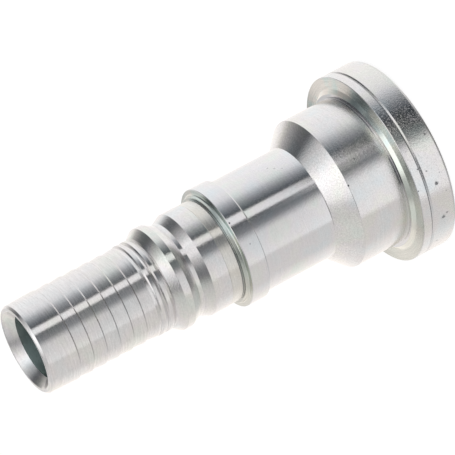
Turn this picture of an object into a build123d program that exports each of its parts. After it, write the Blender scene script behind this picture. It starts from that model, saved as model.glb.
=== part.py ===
from build123d import *
import os
from math import radians, tan

# One-piece steel hose insert with a flanged head, turned about +Z.
# Lengths are in millimetres. The sealing face lies on z = 0 and the barbed tail points up.

# Flanged head, for an ISO 6162-2 DN 32 split flange clamp
head_diameter = 54.0
head_thickness = 10.3
head_front_round = 0.8
head_back_round = 0.15
rim_line_setback = 2.85
rim_line_width = 0.5
rim_line_depth = 0.2

# O-ring groove in the sealing face, for a 37.7 x 3.53 ring
seal_groove_diameter = 44.45
seal_groove_width = 4.8
seal_groove_depth = 2.75
seal_groove_round = 0.3

# Neck that passes through the split flange, and the raised root where it joins the head
neck_diameter = 42.8
neck_length = 14.9
neck_edge_round = 0.25
head_root_rise = 0.9
head_root_cove = 0.8
head_root_land = 0.05
head_root_slope = 1.4
head_root_round = 0.5

# Cone down to the shank
cone_angle = 45.0
cone_foot_round = 0.4
shank_diameter = 32.0
shank_length = 21.2

# Stop collar, where the crimp shell ends
collar_rise = 1.0
collar_width = 5.5
collar_back_round = 0.45
collar_front_round = 0.15
collar_foot_round = 0.3
collar_root_rise = 1.1
collar_root_cove = 0.5
collar_root_land = 0.05
collar_root_slope = 1.05

# Barbed tail, for a hose of 25.4 bore
tail_diameter = 25.4
barb_count = 6
barb_pitch = 4.0
barb_depth = 0.35
barb_drop_length = 0.3
barb_start = 3.7
tail_lead_length = 8.2
tail_end_diameter = 24.9
tail_end_chamfer_radial = 0.57
tail_end_chamfer_length = 0.6

# Locking ridges that hold the crimped shell, above the stop collar
ridge_rise = 1.95
relief_depth = 0.1
relief_length = 3.6
near_ridge_width = 5.1
near_ridge_ramp = 2.7
valley_depth = 1.38
valley_width = 1.1
far_ridge_slope = 2.5
far_ridge_width = 2.1
far_ridge_ramp = 2.25
ridge_edge_round = 0.15

# Fine ring grooves between the ridges and the barbs
groove_count = 3
groove_pitch = 2.15
groove_land_rise = 0.2
groove_depth = 0.4
groove_steep_length = 0.3
groove_length = 1.2

# Bore: narrow through the tail, wide through the head, with a cone between them
tail_bore_diameter = 18.2
mouth_diameter = 22.0
mouth_depth = 2.6
head_bore_diameter = 28.0
head_bore_depth = 24.0
bore_cone_angle = 30.0
head_bore_chamfer = 0.5

# Radii of the turned surfaces
head_radius = head_diameter / 2
neck_radius = neck_diameter / 2
shank_radius = shank_diameter / 2
collar_radius = shank_radius + collar_rise
tail_radius = tail_diameter / 2
tail_end_radius = tail_end_diameter / 2
ridge_radius = tail_radius + ridge_rise
relief_radius = ridge_radius - relief_depth
valley_radius = ridge_radius - valley_depth
groove_land_radius = tail_radius + groove_land_rise
tail_bore_radius = tail_bore_diameter / 2
head_bore_radius = head_bore_diameter / 2
seal_groove_outer = seal_groove_diameter / 2
seal_groove_inner = seal_groove_outer - seal_groove_width

# Heights above the sealing face
cone_foot = head_thickness + neck_length
cone_top = cone_foot + (neck_radius - shank_radius) / tan(radians(cone_angle))
collar_back = cone_top + shank_length
collar_front = collar_back + collar_width
collar_root_top = collar_front + collar_root_rise
near_ridge_start = collar_root_top + relief_length
near_ridge_end = near_ridge_start + near_ridge_width
valley_start = near_ridge_end + near_ridge_ramp
valley_end = valley_start + valley_width
far_ridge_start = valley_end + far_ridge_slope
far_ridge_end = far_ridge_start + far_ridge_width
first_groove = far_ridge_end + far_ridge_ramp
grooves_end = first_groove + (groove_count - 1) * groove_pitch + groove_length
first_barb = grooves_end + barb_start
last_barb = first_barb + (barb_count - 1) * barb_pitch
tail_end = last_barb + tail_lead_length + tail_end_chamfer_length


def sealing_face():
    """Corners from the bore's edge to the rim, each as radius, height and rounding."""
    return [
        (head_bore_radius + head_bore_chamfer, 0, 0),
        (seal_groove_inner, 0, 0),
        (seal_groove_inner, seal_groove_depth, seal_groove_round),
        (seal_groove_outer, seal_groove_depth, seal_groove_round),
        (seal_groove_outer, 0, 0),
        (head_radius, 0, head_front_round),
    ]


def head_and_neck():
    """Rim with its fine turned line, shoulder, raised root, neck and cone."""
    rim_line = head_thickness - rim_line_setback
    root_top = head_thickness + head_root_rise
    root_edge = neck_radius + head_root_cove + head_root_land
    return [
        (head_radius, rim_line - rim_line_width / 2, 0),
        (head_radius - rim_line_depth, rim_line, 0),
        (head_radius, rim_line + rim_line_width / 2, 0),
        (head_radius, head_thickness, head_back_round),
        (root_edge + head_root_slope, head_thickness, head_root_round),
        (root_edge, root_top, 0),
        (neck_radius, root_top, head_root_cove),
        (neck_radius, cone_foot, neck_edge_round),
        (shank_radius, cone_top, cone_foot_round),
    ]


def stop_collar():
    """Collar with a rounded back edge, a flat front and a raised root."""
    root_edge = relief_radius + collar_root_cove + collar_root_land
    return [
        (shank_radius, collar_back, collar_foot_round),
        (collar_radius, collar_back, collar_back_round),
        (collar_radius, collar_front, collar_front_round),
        (root_edge + collar_root_slope, collar_front, 0),
        (root_edge, collar_root_top, 0),
        (relief_radius, collar_root_top, collar_root_cove),
    ]


def locking_ridges():
    """Two ridges with a valley between them and a slope down to the ring grooves."""
    return [
        (relief_radius, near_ridge_start - relief_depth, 0),
        (ridge_radius, near_ridge_start, 0),
        (ridge_radius, near_ridge_end, ridge_edge_round),
        (valley_radius, valley_start, ridge_edge_round),
        (valley_radius, valley_end, ridge_edge_round),
        (ridge_radius, far_ridge_start, ridge_edge_round),
        (ridge_radius, far_ridge_end, ridge_edge_round),
    ]


def ring_grooves():
    """Grooves with a steep lower wall and a long upper slope."""
    corners = []
    for index in range(groove_count):
        lower_edge = first_groove + index * groove_pitch
        is_last = index == groove_count - 1
        upper_radius = tail_radius if is_last else groove_land_radius
        corners.append((groove_land_radius, lower_edge, 0))
        corners.append((groove_land_radius - groove_depth, lower_edge + groove_steep_length, 0))
        corners.append((upper_radius, lower_edge + groove_length, 0))
    return corners


def barbed_tail():
    """Barbs that widen towards the head and drop off sharply, then the chamfered end."""
    corners = []
    for index in range(barb_count):
        peak = first_barb + index * barb_pitch
        corners.append((tail_radius - barb_depth, peak - barb_drop_length, 0))
        corners.append((tail_radius, peak, 0))
    corners.append((tail_end_radius, tail_end - tail_end_chamfer_length, 0))
    corners.append((tail_end_radius - tail_end_chamfer_radial, tail_end, 0))
    return corners


def bore():
    """Conical mouth, tail bore, inner cone and head bore, from the tail end down."""
    cone_height = (head_bore_radius - tail_bore_radius) / tan(radians(bore_cone_angle))
    return [
        (mouth_diameter / 2, tail_end, 0),
        (tail_bore_radius, tail_end - mouth_depth, 0),
        (tail_bore_radius, head_bore_depth + cone_height, 0),
        (head_bore_radius, head_bore_depth, 0),
        (head_bore_radius, head_bore_chamfer, 0),
    ]


def fitting_body():
    """The closed half section, revolved into one solid."""
    corners = sealing_face() + head_and_neck() + stop_collar() + locking_ridges()
    corners += ring_grooves() + barbed_tail() + bore()
    points = [(radius, height) for radius, height, rounding in corners]
    roundings = [rounding for radius, height, rounding in corners]
    with BuildPart() as body:
        with BuildSketch(Plane.XZ):
            with BuildLine():
                FilletPolyline(*points, radius=roundings, close=True)
            make_face()
        revolve(axis=Axis.Z)
    return body.part


os.makedirs("parts", exist_ok=True)
export_step(fitting_body(), "parts/fitting_body.step")
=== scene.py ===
from math import atan2, cos, pi, radians, sin, tan

import bpy
from mathutils import Matrix, Vector


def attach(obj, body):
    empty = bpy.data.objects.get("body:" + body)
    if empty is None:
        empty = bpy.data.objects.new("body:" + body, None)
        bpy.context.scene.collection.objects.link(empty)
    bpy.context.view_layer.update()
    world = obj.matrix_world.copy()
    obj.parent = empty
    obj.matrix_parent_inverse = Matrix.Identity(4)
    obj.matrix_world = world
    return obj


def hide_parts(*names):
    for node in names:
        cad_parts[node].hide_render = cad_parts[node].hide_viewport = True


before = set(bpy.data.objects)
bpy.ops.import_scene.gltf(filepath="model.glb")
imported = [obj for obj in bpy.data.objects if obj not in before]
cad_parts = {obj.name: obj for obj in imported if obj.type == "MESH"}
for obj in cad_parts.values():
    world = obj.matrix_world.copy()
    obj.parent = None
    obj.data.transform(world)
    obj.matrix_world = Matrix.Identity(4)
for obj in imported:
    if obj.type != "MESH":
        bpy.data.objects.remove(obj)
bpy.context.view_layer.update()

# Crimp hose fitting: one turned and zinc plated body, standing on its sealing face, tail up.
# Profile lengths are in millimetres, as radius and height above the sealing face.
MM = 0.001
BODY_NODE = "fitting_body"

# Lathe: steps round the axis, rounding of a sharp edge, angle of one step in a rounding,
# and the share of a side that the rounding of a sharp edge may use up
SEGMENTS = 320
WORN_EDGE = 0.09
ARC_STEP = radians(24)
ROUNDING_REACH = 0.4

# Camera
CAMERA_PLACE = Vector((0, -0.80392, 0.34043))
CAMERA_PITCH = radians(-19.74)
CAMERA_ROLL = radians(-118.08)
CAMERA_YAW = radians(-0.2331)
LENS = 259.6
SENSOR = 36.0
CLIP_START = 0.01

# Seal groove in the sealing face
SEAL_GROOVE_INNER = 17.425
SEAL_GROOVE_OUTER = 22.225
SEAL_GROOVE_DEPTH = 2.75
SEAL_GROOVE_ROUND = 0.3

# Head, with a fine line turned in its rim
HEAD_RADIUS = 27.0
HEAD_THICKNESS = 10.3
HEAD_FRONT_ROUND = 0.8
RIM_LINE = 7.45
RIM_LINE_HALF = 0.4
RIM_LINE_DEPTH = 0.3
SHOULDER_ROUND = 0.2

# Raised root of the neck, with a fine line turned at the neck's foot
ROOT_FOOT = 23.65
ROOT_FOOT_ROUND = 0.5
ROOT_EDGE = 22.45
ROOT_TOP = 11.2
ROOT_LINE_DEPTH = 0.12
ROOT_LINE_ROUND = 0.1
ROOT_LINE_TOP = 11.65
NECK_START = 11.8

# Neck and cone
NECK_RADIUS = 21.4
NECK_EDGE_ROUND = 0.25
CONE_FOOT = 25.2
CONE_TOP = 30.6
CONE_TOP_ROUND = 0.4

# Shank and stop collar
SHANK_RADIUS = 16.0
COLLAR_RADIUS = 17.0
COLLAR_BACK = 51.8
COLLAR_FRONT = 57.3
COLLAR_FOOT_ROUND = 0.3
COLLAR_BACK_ROUND = 0.45
COLLAR_FRONT_ROUND = 0.2

# Raised root above the collar: a cove, a narrow land and a fine line at the relief's foot
COLLAR_COVE = 15.5
COLLAR_COVE_RISE = 0.1
COLLAR_COVE_ROUND = 0.6
COLLAR_LAND = 15.25
COLLAR_LAND_ROUND = 0.12
COLLAR_ROOT_TOP = 58.4
RELIEF_LINE_DEPTH = 0.1
RELIEF_LINE_ROUND = 0.1
RELIEF_LINE_LENGTH = 0.3
RELIEF_LINE_END = 0.45

# Relief and locking ridges
RELIEF_RADIUS = 14.55
RELIEF_END = 61.9
RIDGE_RADIUS = 14.65
RIDGE_ROUND = 0.15
NEAR_RIDGE_START = 62.0
NEAR_RIDGE_END = 67.1
VALLEY_RADIUS = 13.27
VALLEY_START = 69.8
VALLEY_END = 70.9
FAR_RIDGE_START = 73.4
FAR_RIDGE_END = 75.5

# Ring grooves
GROOVE_COUNT = 3
GROOVE_LAND = 12.9
GROOVE_FLOOR = 12.5
FIRST_GROOVE = 77.75
GROOVE_PITCH = 2.15
GROOVE_STEEP = 0.3
GROOVE_LENGTH = 1.2

# Barbs and the chamfered end of the tail
BARB_COUNT = 6
BARB_PEAK = 12.7
BARB_ROOT = 12.35
FIRST_BARB = 86.95
BARB_PITCH = 4.0
BARB_DROP = 0.4
TAIL_END = 115.75
TAIL_CHAMFER_FOOT = 12.45
TAIL_CHAMFER_LENGTH = 0.6
TAIL_FACE_EDGE = 11.88

# Bore
TAIL_BORE = 9.1
MOUTH_RADIUS = 11.0
MOUTH_DEPTH = 2.6
HEAD_BORE = 14.0
HEAD_BORE_DEPTH = 24.0
HEAD_BORE_CHAMFER = 0.5
BORE_CONE_TOP = 32.49


def head_corners():
    """Sealing face with its seal groove, rim, shoulder, raised root, neck and cone."""
    return [
        (HEAD_BORE + HEAD_BORE_CHAMFER, 0, 0, "sealing_face"),
        (SEAL_GROOVE_INNER, 0, 0, "sealing_face"),
        (SEAL_GROOVE_INNER, SEAL_GROOVE_DEPTH, SEAL_GROOVE_ROUND, "sealing_face"),
        (SEAL_GROOVE_OUTER, SEAL_GROOVE_DEPTH, SEAL_GROOVE_ROUND, "sealing_face"),
        (SEAL_GROOVE_OUTER, 0, 0, "sealing_face"),
        (HEAD_RADIUS, 0, HEAD_FRONT_ROUND, "rim"),
        (HEAD_RADIUS, RIM_LINE - RIM_LINE_HALF, 0, "rim"),
        (HEAD_RADIUS - RIM_LINE_DEPTH, RIM_LINE, 0, "scribed_line"),
        (HEAD_RADIUS, RIM_LINE + RIM_LINE_HALF, 0, "rim"),
        (HEAD_RADIUS, HEAD_THICKNESS, SHOULDER_ROUND, "shoulder"),
        (ROOT_FOOT, HEAD_THICKNESS, ROOT_FOOT_ROUND, "root"),
        (ROOT_EDGE, ROOT_TOP, 0, "cove"),
        (NECK_RADIUS - ROOT_LINE_DEPTH, ROOT_TOP, ROOT_LINE_ROUND, "root_line"),
        (NECK_RADIUS - ROOT_LINE_DEPTH, ROOT_LINE_TOP, 0, "root_line"),
        (NECK_RADIUS, NECK_START, 0, "neck"),
        (NECK_RADIUS, CONE_FOOT, NECK_EDGE_ROUND, "cone"),
        (SHANK_RADIUS, CONE_TOP, CONE_TOP_ROUND, "shank"),
    ]


def collar_corners():
    """Stop collar with its rounded back, flat front and raised root."""
    return [
        (SHANK_RADIUS, COLLAR_BACK, COLLAR_FOOT_ROUND, "shank"),
        (COLLAR_RADIUS, COLLAR_BACK, COLLAR_BACK_ROUND, "shank"),
        (COLLAR_RADIUS, COLLAR_FRONT, COLLAR_FRONT_ROUND, "front"),
        (COLLAR_COVE, COLLAR_FRONT + COLLAR_COVE_RISE, COLLAR_COVE_ROUND, "front"),
        (COLLAR_LAND, COLLAR_ROOT_TOP, COLLAR_LAND_ROUND, "front"),
        (RELIEF_RADIUS - RELIEF_LINE_DEPTH, COLLAR_ROOT_TOP, RELIEF_LINE_ROUND, "scribed_line"),
        (RELIEF_RADIUS - RELIEF_LINE_DEPTH, COLLAR_ROOT_TOP + RELIEF_LINE_LENGTH, 0, "scribed_line"),
        (RELIEF_RADIUS, COLLAR_ROOT_TOP + RELIEF_LINE_END, 0, "relief"),
    ]


def ridge_corners():
    """Two locking ridges with a valley between them."""
    return [
        (RELIEF_RADIUS, RELIEF_END, 0, "ridge"),
        (RIDGE_RADIUS, NEAR_RIDGE_START, 0, "ridge"),
        (RIDGE_RADIUS, NEAR_RIDGE_END, RIDGE_ROUND, "ridge"),
        (VALLEY_RADIUS, VALLEY_START, RIDGE_ROUND, "ridge"),
        (VALLEY_RADIUS, VALLEY_END, RIDGE_ROUND, "ridge"),
        (RIDGE_RADIUS, FAR_RIDGE_START, RIDGE_ROUND, "ridge"),
        (RIDGE_RADIUS, FAR_RIDGE_END, RIDGE_ROUND, "ridge"),
    ]


def tail_corners():
    """Ring grooves, barbs and the chamfered end of the tail."""
    corners = []
    for index in range(GROOVE_COUNT):
        foot = FIRST_GROOVE + index * GROOVE_PITCH
        top = BARB_PEAK if index == GROOVE_COUNT - 1 else GROOVE_LAND
        corners.append((GROOVE_LAND, foot, 0, "tail"))
        corners.append((GROOVE_FLOOR, foot + GROOVE_STEEP, 0, "tail"))
        corners.append((top, foot + GROOVE_LENGTH, 0, "tail"))
    for index in range(BARB_COUNT):
        peak = FIRST_BARB + index * BARB_PITCH
        corners.append((BARB_ROOT, peak - BARB_DROP, 0, "tail"))
        corners.append((BARB_PEAK, peak, 0, "tail"))
    corners.append((TAIL_CHAMFER_FOOT, TAIL_END - TAIL_CHAMFER_LENGTH, 0, "tail"))
    corners.append((TAIL_FACE_EDGE, TAIL_END, 0, "mouth"))
    return corners


def bore_corners():
    """Conical mouth, tail bore, inner cone and head bore."""
    return [
        (MOUTH_RADIUS, TAIL_END, 0, "mouth"),
        (TAIL_BORE, TAIL_END - MOUTH_DEPTH, 0, "bore"),
        (TAIL_BORE, BORE_CONE_TOP, 0, "bore"),
        (HEAD_BORE, HEAD_BORE_DEPTH, 0, "bore"),
        (HEAD_BORE, HEAD_BORE_CHAMFER, 0, "sealing_face"),
    ]


def rounded_profile(corners):
    """Points of the closed outline with outward normals and zones, each corner turned into an arc."""
    outline = []
    count = len(corners)
    for index, (radius, height, rounding, zone) in enumerate(corners):
        here = Vector((radius, height))
        before = Vector(corners[index - 1][:2]) - here
        after = Vector(corners[(index + 1) % count][:2]) - here
        room = ROUNDING_REACH * min(before.length, after.length)
        before.normalize()
        after.normalize()
        normal_in = Vector((-before.y, before.x))
        normal_out = Vector((after.y, -after.x))
        turn = atan2(normal_in.x * normal_out.y - normal_in.y * normal_out.x, normal_in.dot(normal_out))
        bend = max(rounding, WORN_EDGE)
        if not rounding:
            bend = min(bend, room / tan(abs(turn) / 2))
        side = 1 if turn > 0 else -1
        centre = here - (normal_in + normal_out).normalized() * side * bend / cos(turn / 2)
        steps = max(2, round(abs(turn) / ARC_STEP))
        previous_zone = corners[index - 1][3]
        for step in range(steps + 1):
            angle = turn * step / steps
            normal = Vector((
                normal_in.x * cos(angle) - normal_in.y * sin(angle),
                normal_in.x * sin(angle) + normal_in.y * cos(angle),
            ))
            point = centre + normal * side * bend
            outline.append((point, normal, zone if step == steps else previous_zone))
    return outline


def lathe(name, outline, materials):
    """One closed mesh turned about +Z from the outline, with exact normals and a material per zone."""
    rows = len(outline)
    vertices, normals, faces, slots = [], [], [], []
    for point, normal, zone in outline:
        for segment in range(SEGMENTS):
            angle = 2 * pi * segment / SEGMENTS
            vertices.append((point.x * cos(angle) * MM, point.x * sin(angle) * MM, point.y * MM))
            normals.append((normal.x * cos(angle), normal.x * sin(angle), normal.y))
    zones = list(materials)
    for row in range(rows):
        for segment in range(SEGMENTS):
            after = (segment + 1) % SEGMENTS
            upper = (row + 1) % rows
            faces.append((
                row * SEGMENTS + segment, row * SEGMENTS + after,
                upper * SEGMENTS + after, upper * SEGMENTS + segment,
            ))
            slots.append(zones.index(outline[row][2]))
    mesh = bpy.data.meshes.new(name)
    mesh.from_pydata(vertices, [], faces)
    mesh.polygons.foreach_set("use_smooth", [True] * len(faces))
    for zone in zones:
        mesh.materials.append(materials[zone])
    mesh.polygons.foreach_set("material_index", slots)
    mesh.update()
    mesh.normals_split_custom_set_from_vertices(normals)
    return linked_object(name, mesh)


def linked_object(name, data):
    """New object in the scene's own collection."""
    thing = bpy.data.objects.new(name, data)
    bpy.context.scene.collection.objects.link(thing)
    return thing


class Nodes:
    """Adds and joins the nodes of one node tree."""

    def __init__(self, tree):
        self.tree = tree
        tree.nodes.clear()

    def add(self, kind, **settings):
        node = self.tree.nodes.new(kind)
        for key, value in settings.items():
            setattr(node, key, value)
        return node

    def feed(self, socket, value):
        """Joins an output to the socket, or sets a plain value on it."""
        if isinstance(value, bpy.types.NodeSocket):
            self.tree.links.new(value, socket)
        else:
            socket.default_value = value

    def math(self, operation, *values):
        node = self.add("ShaderNodeMath", operation=operation)
        for socket, value in zip(node.inputs, values):
            self.feed(socket, value)
        return node.outputs[0]

    def vector(self, operation, first, second, output=0):
        node = self.add("ShaderNodeVectorMath", operation=operation)
        self.feed(node.inputs[0], first)
        self.feed(node.inputs["Scale"] if operation == "SCALE" else node.inputs[1], second)
        return node.outputs[output]

    def smooth(self, value, low, high):
        """0 up to low, 1 from high on and a soft step between; low may be the larger of the two."""
        node = self.add("ShaderNodeMapRange", interpolation_type="SMOOTHSTEP")
        for socket, number in zip(node.inputs, (value, low, high, 0.0, 1.0)):
            self.feed(socket, number)
        return node.outputs[0]

    def mix(self, amount, first, second):
        node = self.add("ShaderNodeMix", data_type="RGBA")
        for socket, value in zip((node.inputs[0], node.inputs[6], node.inputs[7]), (amount, first, second)):
            self.feed(socket, value)
        return node.outputs[2]

    def ramp(self, position, stops):
        """Colours along a position from 0 to 1."""
        node = self.add("ShaderNodeValToRGB")
        elements = node.color_ramp.elements
        for index, (place, colour) in enumerate(stops):
            element = elements[index] if index < 2 else elements.new(place)
            element.position = place
            element.color = (*colour, 1)
        self.feed(node.inputs[0], position)
        return node.outputs[0]

    def noise(self, vector, scale, detail):
        node = self.add("ShaderNodeTexNoise")
        node.inputs["Scale"].default_value = scale
        node.inputs["Detail"].default_value = detail
        self.feed(node.inputs["Vector"], vector)
        return node.outputs[0]

    def join_shaders(self, amount, first, second):
        """The first shader at 0 and the second at 1."""
        node = self.add("ShaderNodeMixShader")
        for socket, value in zip(node.inputs, (amount, first, second)):
            self.feed(socket, value)
        return node.outputs[0]

    def output(self, kind, surface):
        """Output node of this kind, fed by the surface."""
        self.feed(self.add(kind).inputs[0], surface)


def new_material(name):
    """Material with an empty node tree."""
    material = bpy.data.materials.new(name)
    material.use_nodes = True
    return material, Nodes(material.node_tree)


# Zinc tints along a cloudy pattern from 0 to 1.
# A material's shift by side also slides them, down on the -X side and up on the +X side; this paints
# reflections and shade that change round the part.
PLAIN_TINTS = [
    (0.30, (0.735, 0.765, 0.785)),
    (0.42, (0.768, 0.765, 0.768)),
    (0.50, (0.782, 0.756, 0.762)),
    (0.58, (0.785, 0.772, 0.742)),
    (0.70, (0.748, 0.780, 0.742)),
]
TAIL_TINTS = [
    (0.30, (0.760, 0.768, 0.772)),
    (0.42, (0.774, 0.766, 0.768)),
    (0.50, (0.786, 0.760, 0.762)),
    (0.58, (0.784, 0.768, 0.746)),
    (0.70, (0.764, 0.776, 0.746)),
]
COOL_TINTS = [
    (0.30, (0.725, 0.765, 0.795)),
    (0.42, (0.758, 0.765, 0.780)),
    (0.50, (0.775, 0.756, 0.775)),
    (0.58, (0.778, 0.772, 0.760)),
    (0.70, (0.740, 0.780, 0.755)),
]
# Painted reflections and painted shade of the back of the head and the neck's root, slid round the part by
# side.
PAINTED_REFLECTION_TINTS = [
    (0.05, (0.80, 0.785, 0.72)),
    (0.30, (0.745, 0.79, 0.725)),
    (0.55, (0.78, 0.79, 0.73)),
    (0.70, (0.66, 0.76, 0.75)),
    (0.84, (0.69, 0.77, 0.74)),
    (0.96, (0.815, 0.775, 0.725)),
]
# Darker copy for the collar's front: painted reflections and painted shade.
FRONT_PAINTED_SHADE_TINTS = [
    (0.05, (0.66, 0.645, 0.59)),
    (0.30, (0.60, 0.64, 0.585)),
    (0.55, (0.63, 0.64, 0.59)),
    (0.70, (0.55, 0.62, 0.605)),
    (0.84, (0.58, 0.64, 0.61)),
    (0.96, (0.72, 0.685, 0.64)),
]
WARM_TINTS = [(0.35, (0.77, 0.765, 0.74)), (0.65, (0.775, 0.745, 0.69))]
# Painted shade in the fine turned lines.
LINE_SHADE_TINTS = [(0.35, (0.28, 0.29, 0.31)), (0.65, (0.38, 0.38, 0.38))]
# Fine line at the neck's foot: painted shade on some sides, clean on the others.
ROOT_LINE_SHADE_TINTS = [
    (0.08, (0.76, 0.77, 0.74)),
    (0.17, (0.30, 0.31, 0.32)),
    (0.50, (0.30, 0.31, 0.32)),
    (0.60, (0.76, 0.77, 0.73)),
    (0.84, (0.76, 0.77, 0.73)),
    (0.93, (0.34, 0.35, 0.37)),
]
BORE_TINTS = [(0.35, (0.50, 0.61, 0.61)), (0.65, (0.58, 0.65, 0.63))]

# Scales per metre and details of the metal's patterns. STREAK_TURN is how much a streak changes round
# the axis, and SPECKLE_EDGES are the noise levels between which a dull speck fades in.
CLOUD_SCALE = 130
CLOUD_DETAIL = 3.0
GRAIN_SCALE = 2400
GRAIN_DETAIL = 2.0
SPECKLE_SCALE = 3120
SPECKLE_DETAIL = 1.0
SPECKLE_EDGES = (0.47, 0.66)
STREAK_SCALE = 3000
STREAK_DETAIL = 3.0
STREAK_TURN = 3.0

# Least roughness and its swing over the streaks, as shares of a material's own, then the bump's depth
# in metres and the turn that lays the spread of reflections along the axis
LEAST_ROUGHNESS = 0.75
ROUGHNESS_SWING = 0.5
BUMP_DEPTH = 1e-6
SPREAD_TURN = 0.25

# Pits and stains: colour and roughness, then the soft edge in multiples of a spot's size, and its waver
SPOT_COLOUR = (0.10, 0.105, 0.12, 1)
SPOT_ROUGHNESS = 0.55
SPOT_CLEAR = 1.5
SPOT_FULL = 0.8
SPOT_WAVER_SCALE = 1440
SPOT_WAVER_DETAIL = 1.0

# Each pit or stain: radius, turn from the camera's side in degrees, height, size and strength
RIM_SPOTS = [
    (HEAD_RADIUS, 1.8, 2.0, 0.42, 0.7),
    (HEAD_RADIUS, -13.6, 8.1, 0.3, 0.8),
    (HEAD_RADIUS, -17.0, 5.9, 0.33, 0.6),
    (HEAD_RADIUS, -25.9, 4.3, 0.75, 0.75),
    (HEAD_RADIUS, -25.2, 9.9, 0.3, 0.8),
    (HEAD_RADIUS, -49.3, 4.2, 0.85, 0.7),
    (HEAD_RADIUS, -47.5, 3.0, 0.45, 0.5),
    (HEAD_RADIUS, -33, 2.2, 0.25, 0.5),
    (HEAD_RADIUS, -21, 2.6, 0.25, 0.4),
    (HEAD_RADIUS, -70, 5.4, 0.4, 0.5),
    (HEAD_RADIUS, 118, 4.8, 0.5, 0.6),
    (HEAD_RADIUS, -142, 6.0, 0.55, 0.6),
]
NECK_SPOTS = [
    (NECK_RADIUS, -4.6, 25.1, 0.36, 0.9),
    (NECK_RADIUS, 9.9, 20.1, 0.35, 0.5),
    (NECK_RADIUS, 150, 18.0, 0.4, 0.6),
]
SHANK_SPOTS = [
    (COLLAR_RADIUS, 14.2, 56.8, 0.34, 0.9),
    (COLLAR_RADIUS, -10.1, 54.6, 0.3, 0.5),
    (SHANK_RADIUS, 44.5, 37.1, 0.4, 0.2),
    (SHANK_RADIUS, 49, 38.4, 0.3, 0.2),
    (SHANK_RADIUS, 40, 35.5, 0.25, 0.18),
    (COLLAR_RADIUS, -120, 54.0, 0.4, 0.6),
]


def place_on(radius, turn, height):
    """Point on the turned surface; turn is in degrees from the camera's side, rising to +X."""
    angle = radians(turn)
    return Vector((radius * sin(angle), -radius * cos(angle), height)) * MM


def spot_mask(nodes, where, spots):
    """1 inside the listed pits and stains, each with an uneven edge."""
    waver = nodes.noise(where, SPOT_WAVER_SCALE, SPOT_WAVER_DETAIL)
    mask = None
    for radius, turn, height, size, strength in spots:
        distance = nodes.vector("DISTANCE", where, place_on(radius, turn, height), 1)
        uneven = nodes.math("MULTIPLY_ADD", waver, size * MM, distance)
        spot = nodes.smooth(uneven, size * MM * SPOT_CLEAR, size * MM * SPOT_FULL)
        spot = nodes.math("MULTIPLY", spot, strength)
        mask = spot if mask is None else nodes.math("MAXIMUM", mask, spot)
    return mask


def turned_patterns(nodes, where):
    """How far the point lies to the +X side, then streaks round the axis, fine grain and broad clouds."""
    parts = nodes.add("ShaderNodeSeparateXYZ")
    nodes.feed(parts.inputs[0], where)
    x, y, z = parts.outputs
    radius = nodes.math("POWER", nodes.math("MULTIPLY_ADD", x, x, nodes.math("MULTIPLY", y, y)), 0.5)
    side = nodes.math("DIVIDE", x, radius)
    along = nodes.add("ShaderNodeCombineXYZ")
    nodes.feed(along.inputs[0], nodes.math("MULTIPLY", side, STREAK_TURN))
    nodes.feed(along.inputs[1], nodes.math("MULTIPLY", nodes.math("DIVIDE", y, radius), STREAK_TURN))
    nodes.feed(along.inputs[2], nodes.math("MULTIPLY", nodes.math("SUBTRACT", z, radius), STREAK_SCALE))
    streak = nodes.noise(along.outputs[0], 1.0, STREAK_DETAIL)
    fine = nodes.noise(where, GRAIN_SCALE, GRAIN_DETAIL)
    cloud = nodes.noise(where, CLOUD_SCALE, CLOUD_DETAIL)
    return side, streak, fine, cloud


def metal_shader(nodes, colour, rough, normal, anisotropy):
    """Bare metal whose reflections spread along the axis, across the turning marks."""
    shader = nodes.add("ShaderNodeBsdfPrincipled")
    shader.inputs["Metallic"].default_value = 1
    shader.inputs["Anisotropic"].default_value = anisotropy
    shader.inputs["Anisotropic Rotation"].default_value = SPREAD_TURN
    nodes.feed(shader.inputs["Base Color"], colour)
    nodes.feed(shader.inputs["Roughness"], rough)
    nodes.feed(shader.inputs["Normal"], normal)
    tangent = nodes.add("ShaderNodeTangent", direction_type="RADIAL", axis="Z")
    nodes.feed(shader.inputs["Tangent"], tangent.outputs[0])
    return shader.outputs[0]


def turned_steel(name, roughness, anisotropy, streaks, grain, relief,
                 tints=PLAIN_TINTS, painted_side_shift=0.0, spots=(), speckle=0.0):
    """Zinc plated steel: streaks, grain and faint tints, with relief as bump of the streaks and the grain; a
    shift by side slides the tints into painted reflections and shade.
    """
    material, nodes = new_material(name)
    where = nodes.add("ShaderNodeTexCoord").outputs["Object"]
    side, streak, fine, cloud = turned_patterns(nodes, where)
    # The tints follow the clouds, plus painted reflections and painted shade by side where a shift is given.
    tint = nodes.ramp(nodes.math("MULTIPLY_ADD", side, painted_side_shift, cloud), tints)
    value = nodes.math("MULTIPLY_ADD", streak, streaks, 1 - (streaks + grain) / 2)
    value = nodes.math("MULTIPLY_ADD", fine, grain, value)
    colour = nodes.vector("SCALE", tint, value)
    rough = nodes.math("MULTIPLY_ADD", streak, roughness * ROUGHNESS_SWING, roughness * LEAST_ROUGHNESS)
    if speckle:
        dull = nodes.smooth(nodes.noise(where, SPECKLE_SCALE, SPECKLE_DETAIL), *SPECKLE_EDGES)
        rough = nodes.math("MULTIPLY_ADD", dull, speckle, rough)
    if spots:
        mask = spot_mask(nodes, where, spots)
        colour = nodes.mix(mask, colour, SPOT_COLOUR)
        rough = nodes.math("ADD", rough, nodes.math("MULTIPLY", mask, SPOT_ROUGHNESS - roughness))
    bump = nodes.add("ShaderNodeBump")
    bump.inputs["Distance"].default_value = BUMP_DEPTH
    raised = nodes.math("MULTIPLY", fine, relief[1])
    nodes.feed(bump.inputs["Height"], nodes.math("MULTIPLY_ADD", streak, relief[0], raised))
    nodes.output("ShaderNodeOutputMaterial", metal_shader(nodes, colour, rough, bump.outputs[0], anisotropy))
    return material


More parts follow.
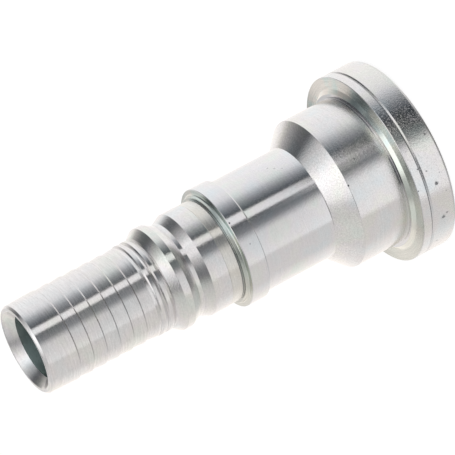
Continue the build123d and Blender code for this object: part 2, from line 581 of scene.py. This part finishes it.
def sealing_face_steel():
    """Sealing face, seal groove and the bore's chamfer, with plain turning marks."""
    return turned_steel(
        "sealing_face", roughness=0.28, anisotropy=1.0, streaks=0.3, grain=0.1, relief=(20, 5))


def rim_steel():
    """Rim of the head, bright with fine dull specks, pits and stains."""
    return turned_steel(
        "rim", roughness=0.12, anisotropy=0.3, streaks=0.05, grain=0.25, relief=(2, 30),
        spots=RIM_SPOTS, speckle=0.2)


def scribed_line_steel():
    """Painted shade in the fine turned lines of the rim and of the relief's foot."""
    return turned_steel(
        "scribed_line", roughness=0.35, anisotropy=0.8, streaks=0.2, grain=0.3, relief=(2, 10),
        tints=LINE_SHADE_TINTS)


def root_line_steel():
    """Fine turned line of the neck's foot, with painted shade on some sides only."""
    return turned_steel(
        "root_line", roughness=0.3, anisotropy=0.8, streaks=0.2, grain=0.3, relief=(2, 10),
        tints=ROOT_LINE_SHADE_TINTS, painted_side_shift=1.0)


def shoulder_steel():
    """Flat back of the head, with deep turning marks and painted reflections and shade that change round it.
    """
    return turned_steel(
        "shoulder", roughness=0.25, anisotropy=1.0, streaks=0.4, grain=0.1, relief=(30, 8),
        tints=PAINTED_REFLECTION_TINTS, painted_side_shift=0.5)


def root_steel():
    """Slope of the neck's raised root, with the shoulder's painted reflections and shade."""
    return turned_steel(
        "root", roughness=0.15, anisotropy=0.9, streaks=0.3, grain=0.1, relief=(12, 5),
        tints=PAINTED_REFLECTION_TINTS, painted_side_shift=0.5)


def cove_steel():
    """Smooth land between the root's edge and the neck's foot."""
    return turned_steel(
        "cove", roughness=0.11, anisotropy=0.8, streaks=0.2, grain=0.1, relief=(5, 3))


def front_steel():
    """Flat front of the stop collar and its raised root, with painted reflections and shade, darker than the
    shoulder.
    """
    return turned_steel(
        "front", roughness=0.15, anisotropy=0.9, streaks=0.3, grain=0.1, relief=(20, 6),
        tints=FRONT_PAINTED_SHADE_TINTS, painted_side_shift=0.5)


def neck_steel():
    """Neck, with faint dull specks and a few pits."""
    return turned_steel(
        "neck", roughness=0.17, anisotropy=0.8, streaks=0.2, grain=0.2, relief=(6, 16),
        spots=NECK_SPOTS, speckle=0.05)


def cone_steel():
    """Cone between the neck and the shank, grainier than both."""
    return turned_steel(
        "cone", roughness=0.15, anisotropy=0.8, streaks=0.15, grain=0.45, relief=(4, 15),
        spots=NECK_SPOTS)


def shank_steel():
    """Shank with the collar's back and outside, smooth and a little bluer."""
    return turned_steel(
        "shank", roughness=0.15, anisotropy=0.8, streaks=0.12, grain=0.14, relief=(3, 8),
        tints=COOL_TINTS, spots=SHANK_SPOTS)


def relief_steel():
    """Relief above the collar, duller and a little warmer."""
    return turned_steel(
        "relief", roughness=0.24, anisotropy=0.9, streaks=0.3, grain=0.2, relief=(6, 12),
        tints=WARM_TINTS)


def ridge_steel():
    """Locking ridges and the valley between them."""
    return turned_steel(
        "ridge", roughness=0.18, anisotropy=0.8, streaks=0.15, grain=0.25, relief=(4, 14))


def tail_steel():
    """Ring grooves and barbs, with strong turning marks."""
    return turned_steel(
        "tail", roughness=0.18, anisotropy=0.8, streaks=0.36, grain=0.2, relief=(8, 6),
        tints=TAIL_TINTS)


def mouth_steel():
    """End face and conical mouth of the tail."""
    return turned_steel(
        "mouth", roughness=0.24, anisotropy=0.9, streaks=0.4, grain=0.15, relief=(30, 6))


def bore_steel():
    """Walls of the bore, darker and rougher."""
    return turned_steel(
        "bore", roughness=0.4, anisotropy=0.5, streaks=0.2, grain=0.15, relief=(5, 5),
        tints=BORE_TINTS)


def fitting():
    """The turned body, in place of its CAD node."""
    materials = {
        "sealing_face": sealing_face_steel(),
        "rim": rim_steel(),
        "scribed_line": scribed_line_steel(),
        "root_line": root_line_steel(),
        "shoulder": shoulder_steel(),
        "root": root_steel(),
        "cove": cove_steel(),
        "front": front_steel(),
        "neck": neck_steel(),
        "cone": cone_steel(),
        "shank": shank_steel(),
        "relief": relief_steel(),
        "ridge": ridge_steel(),
        "tail": tail_steel(),
        "mouth": mouth_steel(),
        "bore": bore_steel(),
    }
    corners = head_corners() + collar_corners() + ridge_corners() + tail_corners() + bore_corners()
    piece = lathe("turned_body", rounded_profile(corners), materials)
    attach(piece, "root")
    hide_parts(BODY_NODE)


# Studio rows from straight down to straight up: azimuth in degrees, level and warm shift.
# Azimuth 0 is the camera's side and rises to +X; level 1 is white.
STUDIO_TOP = 2.4
NADIR = 0.15
UNDER = [
    (-180, 0.7, 0), (-150, 0.7, 0), (-100, 0.55, 0), (-60, 0.5, 0), (-35, 0.38, 0), (-18, 0.22, 0),
    (20, 0.12, 0), (34, 0.3, 0), (48, 1.1, 0), (172, 1.1, 0), (180, 0.7, 0),
]
LOW = [
    (-180, 1.1, 0.05), (-150, 1.05, 0.04), (-125, 0.92, 0.03), (-105, 0.76, 0.02), (-59, 0.73, 0.02),
    (-54, 0.90, 0.01), (-12, 0.74, 0), (2, 0.24, -0.05), (14, 0.16, -0.07), (23, 0.06, -0.08),
    (38, 0.06, -0.10), (45, 0.13, -0.12), (54, 0.28, -0.06), (64, 0.53, -0.04), (74, 0.83, -0.02),
    (87, 0.98, -0.01), (120, 1.08, 0), (150, 1.05, 0.02), (180, 1.1, 0.03),
]
MIDDLE = [
    (-180, 0.95, 0.02), (-150, 0.95, 0.03), (-115, 0.78, 0.02), (-74, 0.62, 0), (-62, 0.53, 0),
    (-50, 0.32, -0.02), (-42, 0.21, -0.03), (-32, 0.21, -0.03), (-24, 0.24, -0.02), (0, 0.62, 0),
    (20, 1.06, 0), (38, 1.14, 0), (46, 0.98, 0), (58, 0.64, 0), (72, 0.44, -0.01), (84, 0.27, -0.03),
    (94, 0.14, -0.06), (108, 0.12, -0.06), (120, 0.17, -0.03), (138, 0.45, 0.01), (150, 0.85, 0.03),
    (168, 0.95, 0.02), (178, 0.65, 0), (180, 0.65, 0),
]
HIGH = [
    (-180, 0.12, -0.04), (-158, 0.25, -0.02), (-144, 0.55, 0), (-128, 0.76, 0.01), (-60, 0.76, 0.01),
    (-48, 0.72, 0), (-34, 0.75, 0), (-12, 1.1, 0), (4, 1.38, 0), (38, 1.38, 0), (54, 1.2, 0),
    (70, 0.95, 0), (84, 0.8, 0), (96, 0.58, 0), (106, 0.3, -0.03), (114, 0.14, -0.05),
    (167, 0.13, -0.05), (173, 1.3, 0), (177, 1.3, 0), (180, 0.3, -0.04),
]
CROWN = [
    (-180, 0.2, -0.03), (-165, 0.18, -0.03), (-100, 0.45, -0.01), (-76, 0.7, 0), (-60, 0.76, 0),
    (-48, 0.84, 0), (-34, 1.1, 0), (-12, 1.17, 0), (36, 1.38, 0), (54, 1.15, 0), (70, 0.9, 0),
    (86, 0.6, 0), (98, 0.13, -0.04), (149, 0.13, -0.04), (157, 1.2, 0), (165, 2.4, 0),
    (172, 2.1, 0), (177, 1.0, 0), (180, 0.3, -0.03),
]
ZENITH = 1.35

# Where the middle row gives way to the high one: azimuth in degrees and sine of the elevation
FLAG_TOPS = [
    (-180, 0.42), (-170, 0.46), (-150, 0.67), (-135, 0.56), (-120, 0.46), (-104, 0.57), (-85, 0.71),
    (-60, 0.81), (-45, 0.85), (-10, 0.86), (30, 0.84), (60, 0.80), (100, 0.69), (150, 0.67), (180, 0.52),
]

# Soft edges between the rows, as the sine of the elevation, or above the flags' tops for the high row
NADIR_EDGE = (-0.85, -0.93)
LOW_EDGE = (-0.70, -0.48)
MIDDLE_EDGE = (-0.05, 0.2)
HIGH_EDGE = (-0.05, 0.05)
CROWN_EDGE = (0.80, 0.87)
ZENITH_EDGE = (0.95, 0.985)


def turn_share(angle):
    """Azimuth in degrees as a share of the turn, 0.5 on the camera's side."""
    return 0.5 + angle / 360


def azimuth(nodes, vector):
    """Azimuth as a share of the turn, 0.5 on the camera's side and rising to +X, then the height."""
    parts = nodes.add("ShaderNodeSeparateXYZ")
    nodes.feed(parts.inputs[0], vector)
    away = nodes.math("MULTIPLY", parts.outputs[1], -1.0)
    angle = nodes.math("ARCTAN2", parts.outputs[0], away)
    return nodes.math("MULTIPLY_ADD", angle, 1 / (2 * pi), 0.5), parts.outputs[2]


def studio_ramp(nodes, turn, stops):
    """Studio colours by azimuth, as shares of the brightest level."""
    colours = []
    for angle, level, warm in stops:
        share = level / STUDIO_TOP
        colours.append((turn_share(angle), (share * (1 + warm), share, share * (1 - warm))))
    return nodes.ramp(turn, colours)


def grey(level):
    """Neutral studio colour, as a share of the brightest level."""
    return (level / STUDIO_TOP, level / STUDIO_TOP, level / STUDIO_TOP, 1)


def studio_colour(nodes):
    """Colour of the studio in each direction, from the rows and their soft edges."""
    turn, height = azimuth(nodes, nodes.add("ShaderNodeTexCoord").outputs["Generated"])
    under, low, middle, high, crown = (
        studio_ramp(nodes, turn, stops) for stops in (UNDER, LOW, MIDDLE, HIGH, CROWN))
    flag_top = nodes.ramp(turn, [(turn_share(angle), (top, top, top)) for angle, top in FLAG_TOPS])
    above = nodes.math("SUBTRACT", height, flag_top)
    level = nodes.mix(nodes.smooth(height, *LOW_EDGE), under, low)
    level = nodes.mix(nodes.smooth(height, *NADIR_EDGE), level, grey(NADIR))
    level = nodes.mix(nodes.smooth(height, *MIDDLE_EDGE), level, middle)
    level = nodes.mix(nodes.smooth(above, *HIGH_EDGE), level, high)
    level = nodes.mix(nodes.smooth(height, *CROWN_EDGE), level, crown)
    return nodes.mix(nodes.smooth(height, *ZENITH_EDGE), level, grey(ZENITH))


def studio_world():
    """White to the camera; the metal sees a soft white studio with dark flags."""
    world = bpy.data.worlds.new("studio")
    world.use_nodes = True
    bpy.context.scene.world = world
    nodes = Nodes(world.node_tree)
    studio = nodes.add("ShaderNodeBackground")
    studio.inputs[1].default_value = STUDIO_TOP
    nodes.feed(studio.inputs[0], studio_colour(nodes))
    white = nodes.add("ShaderNodeBackground")
    white.inputs[0].default_value = (1, 1, 1, 1)
    path = nodes.add("ShaderNodeLightPath")
    seen = nodes.math("MAXIMUM", path.outputs["Is Camera Ray"], path.outputs["Is Transmission Ray"])
    nodes.output("ShaderNodeOutputWorld", nodes.join_shaders(seen, studio.outputs[0], white.outputs[0]))


# Curved softboxes: distance from the axis in metres, steps, and spare degrees before the lit part.
# The shifts of a card's foot and top fade in between these heights.
CARD_RADIUS = 0.15
CARD_STEPS = 24
CARD_SPARE = 14
FOOT_SHIFT = (-0.018, -0.024)
TOP_SHIFT = (0.012, 0.034)


def card_glow(name, start, end, foot, top, level, shifts):
    """Glow with four soft edges; its foot and its top sit to one side, by the two shifts in degrees."""
    material, nodes = new_material(name)
    material.cycles.emission_sampling = "NONE"
    turn, height = azimuth(nodes, nodes.add("ShaderNodeTexCoord").outputs["Object"])
    for shift, heights in zip(shifts, (FOOT_SHIFT, TOP_SHIFT)):
        turn = nodes.math("MULTIPLY_ADD", nodes.smooth(height, *heights), shift / 360, turn)
    mask = nodes.math(
        "MULTIPLY",
        nodes.math("MULTIPLY", *(nodes.smooth(turn, turn_share(a), turn_share(b)) for a, b in (start, end))),
        nodes.math("MULTIPLY", *(nodes.smooth(height, a, b) for a, b in (foot, top))),
    )
    glow = nodes.add("ShaderNodeEmission")
    glow.inputs[0].default_value = (1, 1, 1, 1)
    glow.inputs[1].default_value = level
    clear = nodes.add("ShaderNodeBsdfTransparent")
    nodes.output("ShaderNodeOutputMaterial", nodes.join_shaders(mask, clear.outputs[0], glow.outputs[0]))
    return material


def soft_card(name, start, end, foot, top, level, shifts=(0, 0)):
    """Curved softbox round the object, seen only in reflections; each limit is a pair, clear to fully lit."""
    vertices = []
    for step in range(CARD_STEPS + 1):
        angle = radians(start[0] - CARD_SPARE + (end[0] - start[0] + CARD_SPARE) * step / CARD_STEPS)
        x, y = CARD_RADIUS * sin(angle), -CARD_RADIUS * cos(angle)
        vertices += [(x, y, foot[0]), (x, y, top[0])]
    faces = [(2 * n, 2 * n + 2, 2 * n + 3, 2 * n + 1) for n in range(CARD_STEPS)]
    mesh = bpy.data.meshes.new(name)
    mesh.from_pydata(vertices, [], faces)
    mesh.materials.append(card_glow(name + "_glow", start, end, foot, top, level, shifts))
    card = linked_object(name, mesh)
    card.visible_camera = False
    card.visible_diffuse = False
    card.visible_shadow = False


def strip_light():
    """Narrow upright softbox: the bright line along the neck, shank and tail."""
    soft_card(
        "strip_light", start=(19, 23), end=(38, 33.5), foot=(-0.043, -0.022), top=(0.27, 0.25),
        level=0.95, shifts=(9, 1))


def low_fill():
    """Wide softbox below the sealing face, mostly on the -X side."""
    soft_card(
        "low_fill", start=(-58, -55), end=(13, -10), foot=(-0.12, -0.10), top=(-0.018, -0.026),
        level=1.0)


# Floor: half its width and its height in metres, then its own glow and its colour under the studio
FLOOR_HALF = 2.0
FLOOR_LEVEL = -0.0002
FLOOR_GLOW = 0.85
FLOOR_COLOUR = 0.3


def pale_floor():
    """Plain pale floor, white to the camera but for the object's soft shadow, and clear from below."""
    material, nodes = new_material("pale_floor")
    material.cycles.emission_sampling = "NONE"
    plain = nodes.add("ShaderNodeBsdfDiffuse")
    plain.inputs[0].default_value = (FLOOR_COLOUR, FLOOR_COLOUR, FLOOR_COLOUR, 1)
    glow = nodes.add("ShaderNodeEmission")
    path = nodes.add("ShaderNodeLightPath")
    seen = nodes.math("MAXIMUM", path.outputs["Is Camera Ray"], path.outputs["Is Glossy Ray"])
    seen = nodes.math("MAXIMUM", seen, path.outputs["Is Transmission Ray"])
    nodes.feed(glow.inputs[1], nodes.math("MULTIPLY", seen, FLOOR_GLOW))
    both = nodes.add("ShaderNodeAddShader")
    nodes.feed(both.inputs[0], plain.outputs[0])
    nodes.feed(both.inputs[1], glow.outputs[0])
    below = nodes.add("ShaderNodeNewGeometry").outputs["Backfacing"]
    clear = nodes.add("ShaderNodeBsdfTransparent")
    nodes.output("ShaderNodeOutputMaterial", nodes.join_shaders(below, both.outputs[0], clear.outputs[0]))
    return material


def studio_floor():
    """Floor just under the sealing face, left out of reflections."""
    mesh = bpy.data.meshes.new("studio_floor")
    half = FLOOR_HALF
    corners = [(-half, -half), (half, -half), (half, half), (-half, half)]
    mesh.from_pydata([(x, y, FLOOR_LEVEL) for x, y in corners], [], [(0, 1, 2, 3)])
    mesh.materials.append(pale_floor())
    floor = linked_object("studio_floor", mesh)
    floor.visible_glossy = False


def photo_camera():
    """Camera at the photograph's place, aim and roll."""
    data = bpy.data.cameras.new("camera")
    data.lens = LENS
    data.sensor_width = SENSOR
    data.clip_start = CLIP_START
    camera = linked_object("camera", data)
    level = Matrix.Rotation(pi / 2 + CAMERA_PITCH, 4, "X")
    yaw = Matrix.Rotation(CAMERA_YAW, 4, "Y")
    roll = Matrix.Rotation(CAMERA_ROLL, 4, "Z")
    camera.matrix_world = Matrix.Translation(CAMERA_PLACE) @ level @ yaw @ roll
    bpy.context.scene.camera = camera


bpy.context.scene.view_settings.view_transform = "Standard"
fitting()
studio_world()
strip_light()
low_fill()
studio_floor()
photo_camera()
